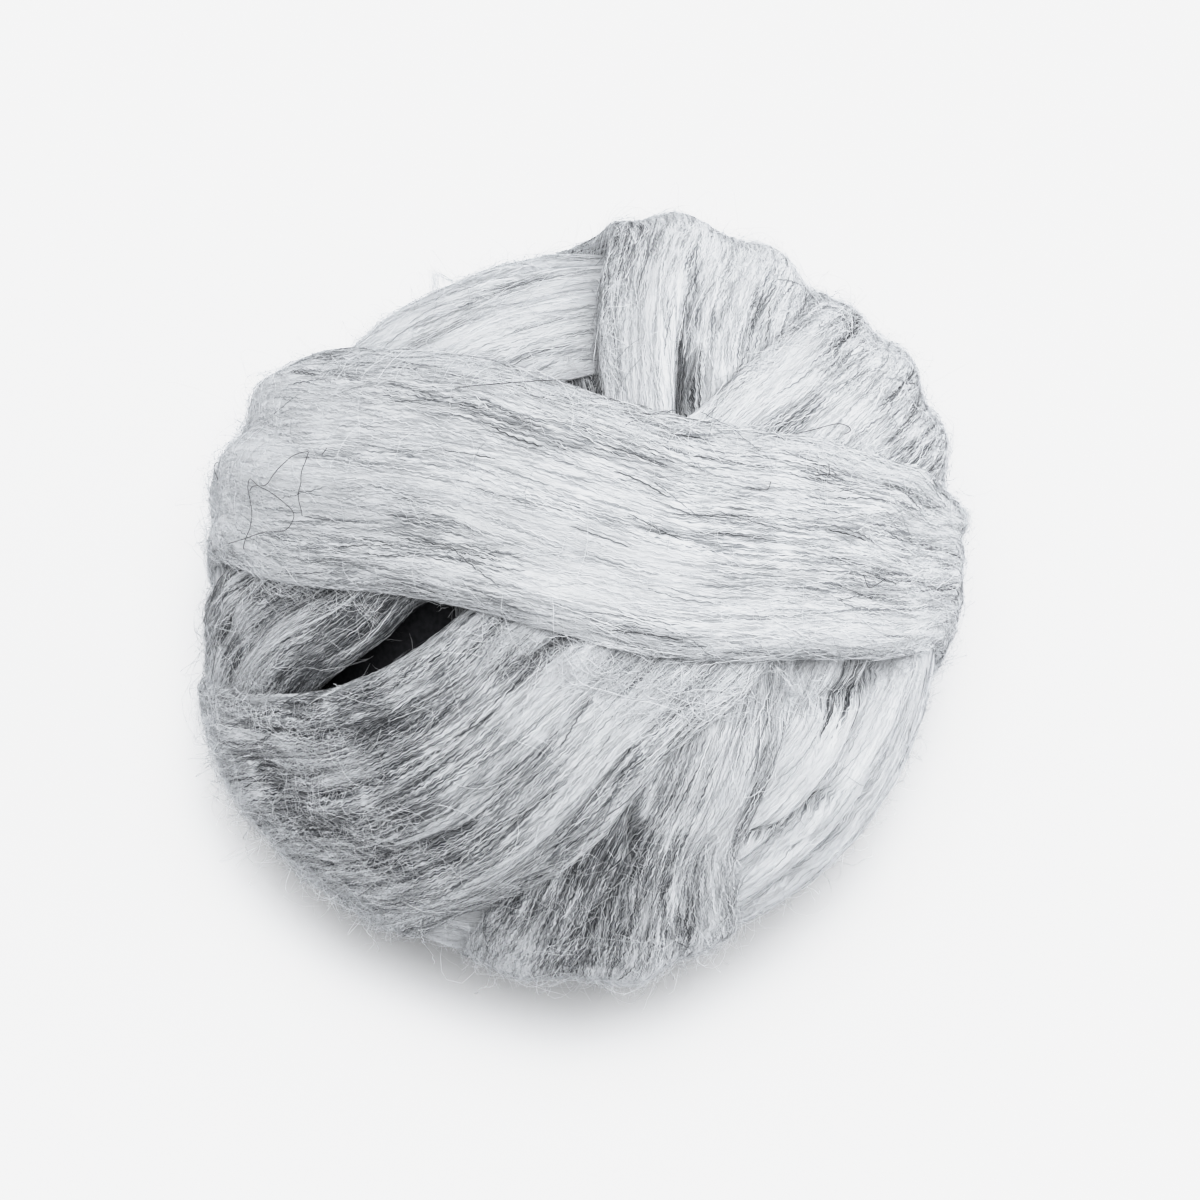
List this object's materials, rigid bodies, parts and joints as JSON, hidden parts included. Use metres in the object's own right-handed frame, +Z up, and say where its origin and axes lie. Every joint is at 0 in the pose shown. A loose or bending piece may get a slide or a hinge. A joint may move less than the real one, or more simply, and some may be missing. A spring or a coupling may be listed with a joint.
{
  "type": "ball of wool roving",
  "caption": "Hand-wound ball of loose grey combed wool roving, flat bands crossing over each other, resting on a small flat spot; for spinning, felting and arm knitting.",
  "frame": {"origin": "middle of the flat spot that the ball rests on, under the middle of the ball", "axes": "+Z up, +X to the right and +Y away from the viewer, who looks down on the ball from the front as in the picture"},
  "size_m": [0.1512, 0.1528, 0.1502],
  "materials": {
    "wool": "matte"
  },
  "bodies": {
    "root": {"roving_ball": "wool"}
  },
  "joints": []
}
